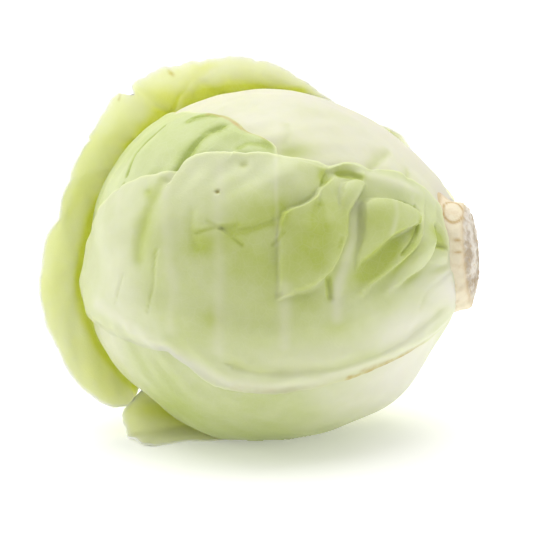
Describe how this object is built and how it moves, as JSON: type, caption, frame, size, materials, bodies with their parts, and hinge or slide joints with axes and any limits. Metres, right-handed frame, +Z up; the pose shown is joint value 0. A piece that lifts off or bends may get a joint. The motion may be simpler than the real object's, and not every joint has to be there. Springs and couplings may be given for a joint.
{
  "type": "white cabbage",
  "caption": "White cabbage lying on its side: a round dense head, smooth and puckered wrapper leaves, loose outer leaves that flare at the crown end, and a cut stalk.",
  "frame": {"origin": "the middle of the bounding box on the surface that the cabbage rests on", "axes": "+X towards the cut stalk, which also points 8 degrees towards -Y and 6 degrees up; +Z up; -Y is the pictured side"},
  "size_m": [0.189, 0.1522, 0.1578],
  "materials": {
    "stalk": "cut, dry and browned at the face, cream at the sides",
    "heart_leaf": "pale waxy leaf",
    "wrapper_leaf": "waxy leaf, pale yellow-green, with cream ribs",
    "blanched_leaf": "waxy leaf, cream-white",
    "puckered_leaf": "waxy puckered leaf, yellow-green between cream veins",
    "outer_leaf": "waxy leaf, yellow-green with a pale rim"
  },
  "bodies": {
    "root": {"stalk": "stalk", "head": "heart_leaf", "leaf_back": "wrapper_leaf", "leaf_top": "blanched_leaf", "leaf_under": "wrapper_leaf", "leaf_crown": "wrapper_leaf", "leaf_front": "puckered_leaf", "outer_leaf_low": "outer_leaf", "outer_leaf_back": "outer_leaf"}
  },
  "joints": []
}
